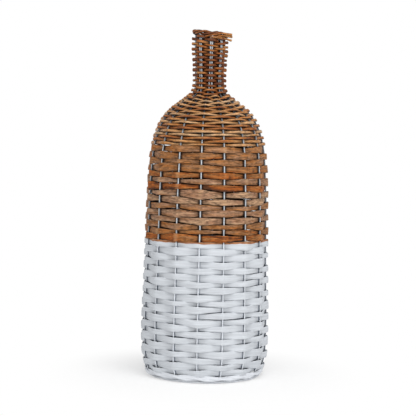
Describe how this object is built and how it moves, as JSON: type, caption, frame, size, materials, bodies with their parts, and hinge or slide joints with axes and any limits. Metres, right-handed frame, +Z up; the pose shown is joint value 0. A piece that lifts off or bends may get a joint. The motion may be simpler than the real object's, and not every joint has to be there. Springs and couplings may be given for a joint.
{
  "type": "vase",
  "caption": "Bottle-shaped wicker vase: wire stakes woven with split willow, painted white below and plain brown above, thin rods on the shoulder and the slim neck, twisted rim",
  "frame": {"origin": "centre of the foot, on the plane the vase stands on", "axes": "+Z up along the axis of the bottle; the pictured side faces -Y; +X is to the right of that view"},
  "size_m": [0.224, 0.2239, 0.5997],
  "materials": {
    "coated_wire": "steel wire with a pale grey coating, satin",
    "white_painted_willow": "split willow under matt white paint, with the grain showing through",
    "brown_split_willow": "split willow strips, steamed brown, dry and fibrous, matt",
    "brown_willow_rod": "thin round willow rods, steamed golden brown, faint sheen"
  },
  "bodies": {
    "root": {"base_hub": "coated_wire", "stake_01": "coated_wire", "stake_02": "coated_wire", "stake_03": "coated_wire", "stake_04": "coated_wire", "stake_05": "coated_wire", "stake_06": "coated_wire", "stake_07": "coated_wire", "stake_08": "coated_wire", "stake_09": "coated_wire", "stake_10": "coated_wire", "stake_11": "coated_wire", "stake_12": "coated_wire", "stake_13": "coated_wire", "stake_14": "coated_wire", "stake_15": "coated_wire", "stake_16": "coated_wire", "foot_border": "white_painted_willow", "base_weaver_a_1": "white_painted_willow", "base_weaver_b_1": "white_painted_willow", "lower_weaver_a_1": "white_painted_willow", "lower_weaver_a_2": "white_painted_willow", "lower_weaver_a_3": "white_painted_willow", "lower_weaver_a_4": "white_painted_willow", "lower_weaver_a_5": "white_painted_willow", "lower_weaver_b_1": "white_painted_willow", "lower_weaver_b_2": "white_painted_willow", "lower_weaver_b_3": "white_painted_willow", "lower_weaver_b_4": "white_painted_willow", "lower_weaver_b_5": "white_painted_willow", "upper_weaver_a_1": "brown_split_willow", "upper_weaver_a_2": "brown_split_willow", "upper_weaver_a_3": "brown_split_willow", "upper_weaver_a_4": "brown_split_willow", "upper_weaver_b_1": "brown_split_willow", "upper_weaver_b_2": "brown_split_willow", "upper_weaver_b_3": "brown_split_willow", "upper_weaver_b_4": "brown_split_willow", "shoulder_weaver_a_1": "brown_willow_rod", "shoulder_weaver_a_2": "brown_willow_rod", "shoulder_weaver_a_3": "brown_willow_rod", "shoulder_weaver_a_4": "brown_willow_rod", "shoulder_weaver_b_1": "brown_willow_rod", "shoulder_weaver_b_2": "brown_willow_rod", "shoulder_weaver_b_3": "brown_willow_rod", "shoulder_weaver_b_4": "brown_willow_rod", "neck_weaver_a_1": "brown_willow_rod", "neck_weaver_a_2": "brown_willow_rod", "neck_weaver_a_3": "brown_willow_rod", "neck_weaver_a_4": "brown_willow_rod", "neck_weaver_b_1": "brown_willow_rod", "neck_weaver_b_2": "brown_willow_rod", "neck_weaver_b_3": "brown_willow_rod", "neck_weaver_b_4": "brown_willow_rod", "rim_border": "brown_willow_rod"}
  },
  "joints": []
}
